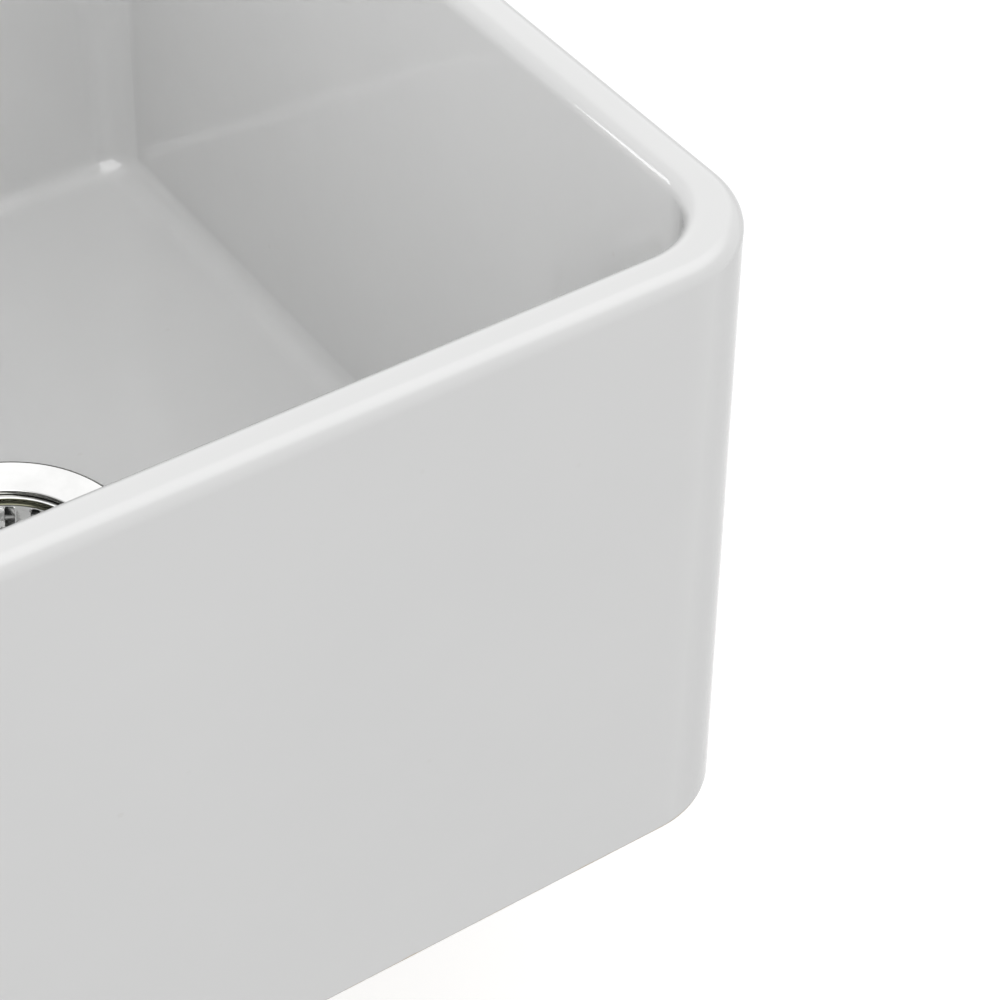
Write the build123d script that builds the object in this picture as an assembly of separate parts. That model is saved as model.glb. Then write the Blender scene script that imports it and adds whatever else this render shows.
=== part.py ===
from build123d import *
import math
import os

# Apron front sink with a basket strainer. Millimetres. X runs to the right of someone facing
# the apron, Y runs from the apron to the back, Z is up. The origin is on the drain's axis, in
# the plane of the underside that the sink rests on. Radii are measured from the drain's axis.

# Bowl
overall_width = 381.0
overall_depth = 457.2
overall_height = 254.0
rim_wall = 17.0
outer_corner_radius = 40.0
outer_rim_round = 6.0
inner_corner_radius = 28.0  # at the rim
inner_rim_round = 6.0
foot_round = 2.0
wall_draft = 2.25  # degrees that each inner wall leans outwards
wall_foot_round = 11.0  # tight round where the walls meet the floor
wall_foot_corner = 15.0  # radius in plan at the walls' foot
floor_thickness = 30.0  # at the drain
floor_fall = 1.0  # from the curled edge of the floor to the drain
floor_curl_radius = 300.0  # of the floor's edge, which curls up towards the walls
floor_curl = 5.0  # degrees that the curled edge climbs where the tight round takes over
curl_corner_radius = 34.0  # in plan, where the floor starts to curl
drain_hole_radius = 45.0
recess_depth = 6.0  # room for the drain's nut in the underside

# Clearances
thread_clearance = 0.15
hole_clearance = 0.1
running_clearance = 0.08
resting_gap = 0.3
lift_clearance = 0.4
cup_hole_clearance = 2.0
land_margin = 4.0  # level floor beyond the flange
recess_margin = 9.0  # between the washer and the recess wall
gasket_hole_margin = 0.5
gasket_lip_clearance = 0.2
coupling_hole_clearance = 0.3
basket_side_clearance = 0.6
detent_wire_clearance = 0.1
detent_room = 0.25
knob_clearance = 2.0  # between the guide's top and the knob above it
travel_clearance = 1.4  # left between the collar and the guide when the stopper is up

# Strainer body
flange_overlap = 12.0  # of the flange past the drain hole
flange_thickness = 0.6  # at its mouth
flange_rise = 1.8  # from the mouth to the crest beside its outer edge
flange_lip = 1.0  # turned-down rim that hides the gasket
flange_edge_round = 0.7
flange_mouth_round = 1.0
gasket_thickness = 0.8
cup_wall = 2.6
cup_thread_depth = 0.6
cup_thread_pitch = 2.4
cup_thread_start = 4.8  # plain wall under the flange before the thread
rim_ledge_width = 1.2
rim_seat_depth = 2.9  # the basket's ledge, below the flange's mouth
seat_width = 9.0
seat_slope_width = 3.8
seat_slope_height = 4.0
cup_floor_thickness = 2.2
outlet_margin = 0.95  # of the outlet's bore past the tailpiece
outlet_slope = 0.7  # height for each millimetre inwards, from the seat to the outlet
outlet_wall = 3.8
outlet_length = 23.1  # below the neck
outlet_thread_depth = 0.5
outlet_thread_pitch = 1.8
crossbar_width = 2.6
crossbar_depth = 3.0
crossbar_drop = 3.1  # from the neck to the crossbars' top

# Under the floor
washer_overlap = 12.0  # of the washers past the drain hole
rubber_washer_thickness = 3.0
friction_washer_thickness = 0.8
lock_nut_wall = 6.85
lock_nut_height = 12.0
lock_nut_web = 4.0  # thickness of the nut's bearing ring
lug_count = 6
lug_width = 9.0
lug_reach = 5.5

# Tailpiece and coupling
tailpiece_radius = 19.05
tailpiece_wall = 1.0
tailpiece_length = 101.6
tailpiece_flange_thickness = 2.0
tailpiece_flange_inset = 0.6  # from the outlet's thread
tailpiece_root_flare = 0.2  # of the tube where it meets its flange, inside the nut
tailpiece_root_reach = 0.5  # of the flared root out of the nut
tailpiece_washer_thickness = 2.0
tailpiece_washer_inset = 0.4  # from the tube's bore
coupling_wall = 4.55
coupling_bevel = 1.5
coupling_overlap = 16.0  # length of outlet thread inside the nut
coupling_shoulder = 2.5

# Basket
sheet = 0.7
basket_depth = 22.8  # from under the rim to under the floor
basket_turn = 6.3  # degrees that the basket is turned in its seat
basket_neck_height = 2.2
basket_shelf_width = 0.6
basket_shelf_drop = 0.3
basket_rim_bend = 0.3
basket_taper = 10.6  # of the slotted wall, from its top to the floor
basket_heel = 2.5
slot_count = 22
slot_width = 4.1
slot_corner_round = 1.2
slot_top_margin = 0.3
slot_floor_reach = 6.0  # inwards over the basket's floor

# Guide, post and stopper
post_radius = 4.0
bushing_wall = 1.9
bushing_flange_width = 3.0
bushing_flange_thickness = 1.2
bushing_flare = 0.6
bushing_height = 10.0  # above the basket's underside
bushing_tail = 0.6  # guide that stands out below its nut
bushing_nut_thickness = 2.0
bushing_nut_wall = 2.4
nut_bevel = 0.4
stopper_travel = 8.0
detent_wire_radius = 0.55
detent_rise = 5.8  # above the basket's underside
detent_groove_depth = 0.4
detent_groove_width = 1.6
detent_opening = 30.0  # degrees open in the spring ring
seal_inset = 3.0  # from the seat's outer edge
seal_thickness = 3.0
seal_bevel = 1.0
plate_inset = 5.0  # from the seal's edge
plate_thickness = 1.2
collar_width = 2.5
collar_thickness = 1.5
stopper_nut_wall = 1.9
stopper_nut_thickness = 2.5
post_tail = 0.6  # thread that stands out below the stopper's nut
post_end_bevel = 0.5
knob_grip_width = 5.5  # from the post to the knob's rim
knob_waist_width = 1.6
knob_height = 16.0
knob_grip_height = 5.0
knob_crown = 3.0
knob_socket_depth = 8.0

# Radii that several pieces share
cup_thread_radius = drain_hole_radius - cup_hole_clearance
cup_bore_radius = cup_thread_radius - cup_thread_depth - cup_wall
rim_seat_radius = cup_bore_radius + rim_ledge_width
flange_radius = drain_hole_radius + flange_overlap
seat_outer_radius = cup_bore_radius - seat_slope_width
seat_inner_radius = seat_outer_radius - seat_width
washer_radius = drain_hole_radius + washer_overlap
outlet_bore_radius = tailpiece_radius + outlet_margin
outlet_thread_radius = outlet_bore_radius + outlet_wall
tailpiece_bore_radius = tailpiece_radius - tailpiece_wall
tailpiece_flange_radius = outlet_thread_radius - tailpiece_flange_inset
basket_neck_radius = cup_bore_radius - basket_side_clearance
basket_wall_radius = basket_neck_radius - basket_shelf_width
basket_floor_radius = basket_wall_radius - basket_taper
bushing_bore_radius = post_radius + running_clearance
bushing_radius = bushing_bore_radius + bushing_wall
stopper_hole_radius = post_radius + hole_clearance
seal_radius = seat_outer_radius - seal_inset

# Heights that several pieces share
draft_rate = math.tan(math.radians(wall_draft))
floor_edge_height = floor_thickness + floor_fall
flange_under = floor_thickness + gasket_thickness
flange_mouth = flange_under + flange_thickness
flange_crest = flange_mouth + flange_rise
rim_under = flange_mouth - rim_seat_depth + resting_gap
basket_bottom = rim_under - basket_depth
bushing_bottom = basket_bottom - bushing_nut_thickness - bushing_tail
bushing_top = basket_bottom + bushing_height
detent_height = basket_bottom + detent_rise
collar_top = bushing_bottom - travel_clearance - stopper_travel
plate_top = collar_top - collar_thickness
seal_top = plate_top - plate_thickness
seal_bottom = seal_top - seal_thickness
seat_height = seal_bottom - resting_gap
neck_height = seat_height - (seat_inner_radius - outlet_bore_radius) * outlet_slope
outlet_end = neck_height - outlet_length
rubber_bottom = recess_depth - rubber_washer_thickness
friction_bottom = rubber_bottom - friction_washer_thickness
lock_nut_bottom = friction_bottom - lock_nut_height
tail_flange_top = outlet_end - tailpiece_washer_thickness
tail_flange_bottom = tail_flange_top - tailpiece_flange_thickness
knob_bottom = bushing_top + knob_clearance


def turned(points):
    """Solid of revolution about the drain's axis, from (radius, height) points in order."""
    outline = Polyline([(radius, 0, height) for radius, height in points], close=True)
    return revolve(make_face(outline), Axis.Z)


def ring(inner_radius, outer_radius, low, high):
    corners = [(inner_radius, low), (outer_radius, low), (outer_radius, high), (inner_radius, high)]
    return turned(corners)


def quarter_round(start, end, corner, steps=6):
    """Points from start to end along a quarter ellipse that bulges towards the corner."""
    points = [start]
    for step in range(1, steps):
        angle = math.radians(90 * step / steps)
        out = math.sin(angle)
        along = 1 - math.cos(angle)
        radius = start[0] + (corner[0] - start[0]) * out + (end[0] - corner[0]) * along
        height = start[1] + (corner[1] - start[1]) * out + (end[1] - corner[1]) * along
        points.append((radius, height))
    return points + [end]


def thread_side(crest_radius, depth, pitch, low, high):
    """Points up a wall with thread grooves, starting and ending at its crest."""
    turns = round((high - low) / pitch)
    rise = (high - low) / turns
    points = [(crest_radius, low)]
    for turn in range(turns):
        points.append((crest_radius - depth, low + (turn + 0.5) * rise))
        points.append((crest_radius, low + (turn + 1) * rise))
    return points


def hexagon_nut(bore_radius, wall, low, high, bevel):
    """Hexagonal nut about the drain's axis with its corners bevelled at both ends."""
    half_flats = bore_radius + wall
    corner = half_flats / math.cos(math.radians(30))
    face = corner - bevel * 2
    blank = Pos(0, 0, low) * extrude(RegularPolygon(half_flats, 6, major_radius=False), high - low)
    upper = [(corner, high - bevel), (face, high), (0, high)]
    bevelled = turned([(0, low), (face, low), (corner, low + bevel)] + upper)
    return (blank & bevelled) - ring(0, bore_radius, low - 1, high + 1)


def bowl_section(inset, corner_radius, height):
    """Level section through the space in the bowl, inset from the inner edge of the rim."""
    width = overall_width - 2 * (rim_wall + inset)
    depth = overall_depth - 2 * (rim_wall + inset)
    return Pos(0, 0, height) * RectangleRounded(width, depth, corner_radius)


def wall_foot_sections(draft, centre_height, centre_inset):
    """Sections down the tight round, from the drafted wall to the floor's curled edge."""
    steps = 5
    end = math.radians(90 - floor_curl)
    start_inset = centre_inset - wall_foot_round * math.cos(draft)
    sections = []
    for step in range(steps + 1):
        angle = draft + (end - draft) * step / steps
        inset = centre_inset - wall_foot_round * math.cos(angle)
        corner = wall_foot_corner - (inset - start_inset)
        sections.append(bowl_section(inset, corner, centre_height - wall_foot_round * math.sin(angle)))
    return sections, inset, corner


def floor_curl_sections(start_inset, start_corner):
    """Sections down the floor's curled edge, until it runs level."""
    steps = 4
    reach = math.sin(math.radians(floor_curl))
    sections = []
    for step in range(steps + 1):
        angle = math.radians(floor_curl * (1 - step / steps))
        share = 1 - math.sin(angle) / reach
        inset = start_inset + floor_curl_radius * reach * share
        corner = start_corner + (curl_corner_radius - start_corner) * share
        height = floor_edge_height + floor_curl_radius * (1 - math.cos(angle))
        sections.append(bowl_section(inset, corner, height))
    return sections, inset


def make_cavity():
    """Space in the bowl: drafted walls, the tight round at their foot and the dished floor."""
    draft = math.radians(wall_draft)
    curl = math.radians(floor_curl)
    heel_height = floor_edge_height + floor_curl_radius * (1 - math.cos(curl))
    centre_height = heel_height + wall_foot_round * math.cos(curl)
    wall_foot_height = centre_height - wall_foot_round * math.sin(draft)
    wall_foot_inset = (overall_height - wall_foot_height) * draft_rate
    centre_inset = wall_foot_inset + wall_foot_round * math.cos(draft)
    above = inner_rim_round
    mouth_corner = inner_corner_radius + above * draft_rate
    mouth = bowl_section(-above * draft_rate, mouth_corner, overall_height + above)
    wall_foot = bowl_section(wall_foot_inset, wall_foot_corner, wall_foot_height)
    walls = loft([mouth, wall_foot], ruled=True)
    foot_sections, heel_inset, heel_corner = wall_foot_sections(draft, centre_height, centre_inset)
    curl_sections, floor_inset = floor_curl_sections(heel_inset, heel_corner)

    dish_radius = min(overall_width, overall_depth) / 2 - rim_wall - floor_inset
    dish = turned(
        [
            (0, floor_thickness),
            (flange_radius + land_margin, floor_thickness),
            (dish_radius, floor_edge_height),
            (dish_radius, floor_edge_height + 1),
            (0, floor_edge_height + 1),
        ]
    )
    return [walls, loft(foot_sections), loft(curl_sections), dish]


def make_sink_bowl():
    block = extrude(RectangleRounded(overall_width, overall_depth, outer_corner_radius), overall_height)
    block = fillet(block.faces().sort_by(Axis.Z)[-1].edges(), outer_rim_round)
    block = fillet(block.faces().sort_by(Axis.Z)[0].edges(), foot_round)
    for hollow in make_cavity():
        block = block - hollow
    block = block - ring(0, drain_hole_radius, -1, overall_height)
    block = block - ring(0, washer_radius + recess_margin, -1, recess_depth)
    rim_face = block.faces().sort_by(Axis.Z)[-1]
    return fillet(rim_face.inner_wires()[0].edges(), inner_rim_round)


def strainer_top():
    """Flange, dished from its crest to its mouth, from under its rim over to the basket's ledge."""
    edge_radius = flange_radius - flange_edge_round
    edge_height = flange_crest - flange_edge_round
    mouth_radius = rim_seat_radius + flange_mouth_round
    mouth_height = flange_mouth - flange_mouth_round
    ledge_height = rim_under - resting_gap
    edge_corner = (flange_radius, flange_crest)
    mouth_corner = (rim_seat_radius, flange_mouth)
    points = [(flange_radius, floor_thickness)]
    points += quarter_round((flange_radius, edge_height), (edge_radius, flange_crest), edge_corner)
    points += quarter_round((mouth_radius, flange_mouth), (rim_seat_radius, mouth_height), mouth_corner)
    return points + [(rim_seat_radius, ledge_height), (cup_bore_radius, ledge_height)]


def make_strainer_body():
    slope_top = seat_height + seat_slope_height
    floor_under = seat_height - cup_floor_thickness
    lip_radius = flange_radius - flange_lip
    profile = strainer_top()
    profile += [
        (cup_bore_radius, slope_top),
        (seat_outer_radius, seat_height),
        (seat_inner_radius, seat_height),
        (outlet_bore_radius, neck_height),
        (outlet_bore_radius, outlet_end),
    ]
    profile += thread_side(
        outlet_thread_radius,
        outlet_thread_depth,
        outlet_thread_pitch,
        outlet_end,
        neck_height - cup_floor_thickness,
    )
    profile += [(seat_inner_radius, floor_under), (seat_outer_radius, floor_under)]
    profile += thread_side(
        cup_thread_radius,
        cup_thread_depth,
        cup_thread_pitch,
        slope_top - cup_floor_thickness,
        flange_under - cup_thread_start,
    )
    profile += [(cup_thread_radius, flange_under), (lip_radius, flange_under), (lip_radius, floor_thickness)]
    reach = outlet_bore_radius + outlet_thread_radius
    bar_height = neck_height - crossbar_drop - crossbar_depth / 2
    bar = Pos(0, 0, bar_height) * Box(reach, crossbar_width, crossbar_depth)
    return turned(profile) + bar + Rot(0, 0, 90) * bar


def make_flange_gasket():
    inner = drain_hole_radius + gasket_hole_margin
    outer = flange_radius - flange_lip - gasket_lip_clearance
    return ring(inner, outer, floor_thickness, flange_under)


def make_rubber_washer():
    return ring(cup_thread_radius + thread_clearance, washer_radius, rubber_bottom, recess_depth)


def make_friction_washer():
    return ring(cup_thread_radius + thread_clearance, washer_radius, friction_bottom, rubber_bottom)


def make_lock_nut():
    bore = cup_thread_radius + thread_clearance
    nut_radius = bore + lock_nut_wall
    lug_end = nut_radius + lug_reach
    lug_start = bore + lock_nut_wall / 2
    nut = ring(bore, nut_radius, lock_nut_bottom, friction_bottom)
    nut = nut + ring(bore, lug_end, friction_bottom - lock_nut_web, friction_bottom)
    lug = Pos((lug_start + lug_end) / 2, 0, lock_nut_bottom + lock_nut_height / 2) * Box(
        lug_end - lug_start, lug_width, lock_nut_height
    )
    for index in range(lug_count):
        nut = nut + Rot(0, 0, 360 * index / lug_count) * lug
    return nut


def make_tailpiece_washer():
    inner = tailpiece_bore_radius + tailpiece_washer_inset
    return ring(inner, tailpiece_flange_radius, tail_flange_top, outlet_end)


def make_tailpiece():
    end = tail_flange_top - tailpiece_length
    return turned(
        [
            (tailpiece_bore_radius, tail_flange_top),
            (tailpiece_flange_radius, tail_flange_top),
            (tailpiece_flange_radius, tail_flange_bottom),
            (tailpiece_radius + tailpiece_root_flare, tail_flange_bottom),
            (tailpiece_radius, tail_flange_bottom - coupling_shoulder - tailpiece_root_reach),
            (tailpiece_radius, end),
            (tailpiece_bore_radius, end),
        ]
    )


def make_coupling_nut():
    top = outlet_end + coupling_overlap
    bottom = tail_flange_bottom - coupling_shoulder
    bore = outlet_thread_radius + thread_clearance
    nut = hexagon_nut(bore, coupling_wall, bottom, top, coupling_bevel)
    hole = tailpiece_radius + coupling_hole_clearance
    return nut + ring(hole, bore + coupling_wall / 2, bottom, tail_flange_bottom)


def slot_cutter(wall_top):
    """One slot: up the basket's wall to its rounded top, and inwards over its floor."""
    wall_bottom = basket_bottom + sheet / 2
    wall_reach = basket_taper + basket_heel + basket_shelf_width
    upright = RectangleRounded(wall_top - wall_bottom, slot_width, slot_corner_round)
    wall_part = Rot(0, 90, 0) * extrude(upright, wall_reach)
    wall_part = Pos(basket_floor_radius - basket_heel, 0, (wall_bottom + wall_top) / 2) * wall_part
    length = slot_floor_reach + basket_heel
    across = RectangleRounded(length, slot_width, slot_corner_round)
    floor_part = Pos(basket_floor_radius + basket_heel / 2 - length / 2, 0, basket_bottom - 1)
    return wall_part + floor_part * extrude(across, basket_heel + 1)


def make_basket_cup():
    hole = bushing_radius + hole_clearance
    neck_bottom = rim_under - basket_neck_height
    wall_top = neck_bottom - basket_shelf_drop
    rim_radius = rim_seat_radius - lift_clearance
    rim_top = rim_under + sheet
    bend = basket_rim_bend + sheet
    heel_share = basket_heel / (wall_top - basket_bottom)
    heel_radius = basket_floor_radius + basket_taper * heel_share
    flat_radius = basket_floor_radius - basket_heel
    outside = [
        (hole, basket_bottom),
        (flat_radius, basket_bottom),
        (heel_radius, basket_bottom + basket_heel),
        (basket_wall_radius, wall_top),
        (basket_neck_radius, neck_bottom),
        (basket_neck_radius, rim_under - basket_rim_bend),
        (basket_neck_radius + basket_rim_bend, rim_under),
        (rim_radius, rim_under),
        (rim_radius, rim_top),
    ]
    inner_neck = basket_neck_radius - sheet
    bend_corner = (inner_neck, rim_top)
    rim_bend = quarter_round((inner_neck + bend, rim_top), (inner_neck, rim_top - bend), bend_corner)
    inside = [
        (inner_neck, neck_bottom + sheet / 2),
        (basket_wall_radius - sheet, wall_top + sheet / 2),
        (heel_radius - sheet, basket_bottom + basket_heel + sheet / 2),
        (flat_radius, basket_bottom + sheet),
        (hole, basket_bottom + sheet),
    ]
    cup = turned(outside + rim_bend + inside)
    cutter = slot_cutter(wall_top - slot_top_margin)
    for index in range(slot_count):
        cup = cup - Rot(0, 0, basket_turn + 360 * index / slot_count) * cutter
    return cup


def make_post_bushing():
    groove_radius = bushing_bore_radius + detent_wire_clearance + 2 * detent_wire_radius + detent_room
    half_groove = detent_wire_radius + detent_room
    flange_low = basket_bottom + sheet
    flange_high = flange_low + bushing_flange_thickness
    return turned(
        [
            (bushing_bore_radius, bushing_bottom),
            (bushing_radius, bushing_bottom),
            (bushing_radius, flange_low),
            (bushing_radius + bushing_flange_width, flange_low),
            (bushing_radius + bushing_flange_width, flange_high),
            (bushing_radius, flange_high),
            (bushing_radius + bushing_flare, bushing_top),
            (bushing_bore_radius, bushing_top),
            (bushing_bore_radius, detent_height + half_groove),
            (groove_radius, detent_height + half_groove),
            (groove_radius, detent_height - half_groove),
            (bushing_bore_radius, detent_height - half_groove),
        ]
    )


def make_bushing_nut():
    bore = bushing_radius + hole_clearance
    low = basket_bottom - bushing_nut_thickness
    return hexagon_nut(bore, bushing_nut_wall, low, basket_bottom, nut_bevel)


def make_detent_ring():
    centre_radius = bushing_bore_radius + detent_wire_clearance + detent_wire_radius
    wire = Plane.XZ * Pos(centre_radius, detent_height) * Circle(detent_wire_radius)
    return Rot(0, 0, detent_opening / 2) * revolve(wire, Axis.Z, 360 - detent_opening)


def make_stopper_post():
    bottom = seal_bottom - stopper_nut_thickness - post_tail
    top = knob_bottom + knob_socket_depth - hole_clearance
    half_groove = detent_groove_width / 2
    groove_radius = post_radius - detent_groove_depth
    profile = [
        (0, bottom),
        (post_radius - post_end_bevel, bottom),
        (post_radius, bottom + post_end_bevel),
        (post_radius, plate_top),
        (post_radius + collar_width, plate_top),
        (post_radius + collar_width, collar_top),
        (post_radius, collar_top),
    ]
    for middle in (detent_height - stopper_travel, detent_height):
        profile += [
            (post_radius, middle - half_groove),
            (groove_radius, middle - half_groove / 2),
            (groove_radius, middle + half_groove / 2),
            (post_radius, middle + half_groove),
        ]
    return turned(profile + [(post_radius, top), (0, top)])


def make_post_knob():
    top = knob_bottom + knob_height
    knob_radius = post_radius + knob_grip_width
    waist_radius = post_radius + knob_waist_width
    grip_high = top - knob_crown
    grip_low = grip_high - knob_grip_height
    socket_radius = post_radius + hole_clearance / 2
    socket_top = knob_bottom + knob_socket_depth
    profile = [(socket_radius, knob_bottom)]
    profile += quarter_round((waist_radius, knob_bottom), (knob_radius, grip_low), (waist_radius, grip_low))
    profile += quarter_round((knob_radius, grip_high), (0, top), (knob_radius, top))
    return turned(profile + [(0, socket_top), (socket_radius, socket_top)])


def make_stopper_plate():
    return ring(stopper_hole_radius, seal_radius - plate_inset, seal_top, plate_top)


def make_stopper_seal():
    return turned(
        [
            (stopper_hole_radius, seal_bottom),
            (seal_radius - seal_bevel / 2, seal_bottom),
            (seal_radius, seal_bottom + seal_bevel / 2),
            (seal_radius, seal_top - seal_bevel),
            (seal_radius - seal_bevel, seal_top),
            (stopper_hole_radius, seal_top),
        ]
    )


def make_stopper_nut():
    low = seal_bottom - stopper_nut_thickness
    return hexagon_nut(stopper_hole_radius, stopper_nut_wall, low, seal_bottom, nut_bevel)


pieces = {
    "sink_bowl": make_sink_bowl,
    "strainer_body": make_strainer_body,
    "flange_gasket": make_flange_gasket,
    "rubber_washer": make_rubber_washer,
    "friction_washer": make_friction_washer,
    "lock_nut": make_lock_nut,
    "tailpiece_washer": make_tailpiece_washer,
    "tailpiece": make_tailpiece,
    "coupling_nut": make_coupling_nut,
    "basket_cup": make_basket_cup,
    "post_bushing": make_post_bushing,
    "bushing_nut": make_bushing_nut,
    "detent_ring": make_detent_ring,
    "stopper_post": make_stopper_post,
    "post_knob": make_post_knob,
    "stopper_plate": make_stopper_plate,
    "stopper_seal": make_stopper_seal,
    "stopper_nut": make_stopper_nut,
}

os.makedirs("parts", exist_ok=True)
for name, make in pieces.items():
    export_step(make(), f"parts/{name}.step")
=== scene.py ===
from math import asin, cos, degrees, hypot, pi, radians, sin, sqrt, tan, tau

import bmesh
import bpy
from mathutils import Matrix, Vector


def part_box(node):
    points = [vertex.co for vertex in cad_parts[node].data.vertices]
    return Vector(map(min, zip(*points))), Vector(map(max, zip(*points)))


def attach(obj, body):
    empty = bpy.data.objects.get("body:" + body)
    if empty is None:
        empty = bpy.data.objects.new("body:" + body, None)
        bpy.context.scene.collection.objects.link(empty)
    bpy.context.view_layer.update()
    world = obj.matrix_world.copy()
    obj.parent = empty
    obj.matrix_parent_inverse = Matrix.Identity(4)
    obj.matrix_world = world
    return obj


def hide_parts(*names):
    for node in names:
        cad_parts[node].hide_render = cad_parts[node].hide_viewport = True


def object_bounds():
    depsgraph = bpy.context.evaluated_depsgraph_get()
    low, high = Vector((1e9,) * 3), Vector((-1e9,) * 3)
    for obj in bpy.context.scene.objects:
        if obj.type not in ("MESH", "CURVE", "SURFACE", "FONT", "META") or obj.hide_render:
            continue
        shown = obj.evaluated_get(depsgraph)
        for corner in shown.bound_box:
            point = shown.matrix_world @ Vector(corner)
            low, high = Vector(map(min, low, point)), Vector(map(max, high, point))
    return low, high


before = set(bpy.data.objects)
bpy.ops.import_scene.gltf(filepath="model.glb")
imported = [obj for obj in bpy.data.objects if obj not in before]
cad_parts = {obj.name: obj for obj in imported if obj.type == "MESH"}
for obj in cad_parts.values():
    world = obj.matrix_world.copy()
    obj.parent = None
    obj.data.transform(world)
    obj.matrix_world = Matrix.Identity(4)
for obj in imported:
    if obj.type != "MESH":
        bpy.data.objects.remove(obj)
cad_low, cad_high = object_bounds()

# Apron front sink with a basket strainer. Outlines are in millimetres, as a radius from the
# drain's axis and a height over the plane that the sink stands on. MM turns them into metres.
MM = 0.001


def span(node):
    """Radius, lowest and highest point of a CAD node that is round about the drain's axis."""
    low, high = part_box(node)
    return high.x / MM, low.z / MM, high.z / MM


# Bowl
BOWL_HALF_WIDTH, BOWL_HALF_DEPTH, BOWL_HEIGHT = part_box("sink_bowl")[1] / MM
RIM_WALL = 17.0
OUTER_CORNER = 40.0
OUTER_RIM_ROUND = 6.0
INNER_CORNER = 28.0
INNER_RIM_ROUND = 6.0
FOOT_ROUND = 2.0
WALL_DRAFT = radians(2.25)
WALL_FOOT_ROUND = 11.0
WALL_FOOT_CORNER = 15.0
FLOOR_AT_DRAIN = 30.0
FLOOR_FALL = 1.0
FLOOR_CURL_RADIUS = 300.0
FLOOR_CURL = radians(5)
CURL_CORNER = 34.0
LAND_RADIUS = 61.0
DRAIN_HOLE = 45.0
RECESS_RADIUS = 66.0
RECESS_HEIGHT = 6.0
GLAZE_EDGE = 0.8
GLAZE_ENDS = 1.5 * MM
HOLE_GLAZE_ENDS = 19.0 * MM

# Strainer
FLANGE_RADIUS, OUTLET_END, FLANGE_TOP = span("strainer_body")
FLANGE_UNDER = span("flange_gasket")[2]
FLANGE_LIP = 1.0
MOUTH_TOP = FLANGE_UNDER + 0.6
# radius of a painted line of shade round the flange's outer edge
EDGE_LINE = 56.1
MOUTH_RADIUS = 41.0
LEDGE_HEIGHT = 28.5
CUP_BORE = 39.8
CUP_THREAD = 43.0
SLOPE_TOP = -8.0
SEAT_HEIGHT = -12.0
SEAT_OUTER = 36.0
SEAT_INNER = 27.0
NECK_HEIGHT = -16.9
CUP_FLOOR = 2.2
OUTLET_BORE = 20.0
OUTLET_THREAD = 23.8
CROSSBAR_TOP = -20.0
CROSSBAR_DEPTH = 3.0
CROSSBAR_WIDTH = 2.6

# Nuts, washers and tube under the floor
RUNNING_GAP = 0.15
GASKET_HOLE = 45.5
LOCK_NUT_WALL = 6.85
LOCK_NUT_WEB = 4.0
LUG_TIP = 55.5
LUG_HALF_WIDTH = 4.5
TUBE_RADIUS = 19.05
TUBE_WALL = 1.0
TUBE_FLANGE = 2.0
TUBE_WASHER_HOLE = 18.45
COUPLING_HALF_FLATS = 28.5
COUPLING_BEVEL = 1.5
COUPLING_HOLE = 19.35
COUPLING_SHOULDER = 2.5

# Basket, as the middle of its sheet
SHEET = 0.7
BASKET_RIM, BASKET_LOW, BASKET_TOP = span("basket_cup")
BASKET_HOLE = 6.08
BASKET_HEEL = 27.75
BASKET_SHELF = 38.25
BASKET_NECK = 38.85
SLOT_COUNT = 22
SLOT_HALF = 2.05
SLOT_ROUND = 1.2
SLOT_TOP = 26.0
SLOT_INNER_END = 20.75
BASKET_TURN = radians(6.3)

# Guide, post and stopper
POST_RADIUS = 4.0
POST_HOLE = 4.1
POST_COLLAR = 2.5
COLLAR_LOW = -7.5
COLLAR_TOP = -6.0
GROOVE_MIDDLES = (3.8, 11.8)
GROOVE_DEPTH = 0.4
GROOVE_HALF = 0.8
GROOVE_FLOOR = 0.35
GUIDE_BORE = 4.08
GUIDE_BODY = 5.98
SPRING_MIDDLE = 4.73
SPRING_WIRE = 0.55
SPRING_ROOM = 5.53
SMALL_NUT_BEVEL = 0.4
GUIDE_NUT_HALF_FLATS = 8.48
STOPPER_NUT_HALF_FLATS = 6.0


# ---- shapes

def between(start, end, share):
    return start + (end - start) * share


def stops(start, end, steps):
    """Evenly spaced values from start to end, with both."""
    return [between(start, end, step / steps) for step in range(steps + 1)]


def softened(corners, steps=4):
    """Closed outline in which each (radius, height, round) corner becomes an arc."""
    outline = []
    for index, (radius, height, rounding) in enumerate(corners):
        here = Vector((radius, height))
        if not rounding:
            outline.append((radius, height))
            continue
        back = Vector(corners[index - 1][:2]) - here
        ahead = Vector(corners[(index + 1) % len(corners)][:2]) - here
        half = back.angle(ahead) / 2
        reach = min(rounding / tan(half), back.length * 0.45, ahead.length * 0.45)
        back.normalize()
        ahead.normalize()
        centre = here + (back + ahead).normalized() * (reach / cos(half))
        start = here + back * reach - centre
        end = here + ahead * reach - centre
        sweep = start.angle(end)
        for share in stops(0, 1, steps):
            point = start * sin((1 - share) * sweep) + end * sin(share * sweep)
            point = centre + point / sin(sweep)
            outline.append((point.x, point.y))
    return outline


def circle(radius, height, steps=160):
    """Level loop about the drain's axis, or one point on the axis."""
    if radius < 1e-6:
        return [(0.0, 0.0, height)]
    turns = [tau * step / steps for step in range(steps)]
    return [(radius * cos(turn), radius * sin(turn), height) for turn in turns]


def circles(outline, spokes=160):
    return [circle(radius, height, spokes) for radius, height in outline]


def turned_outline(corners, steps=4, spokes=160):
    """Loops of a rounded outline turned about the drain's axis."""
    return circles(softened(corners, steps), spokes)


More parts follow.
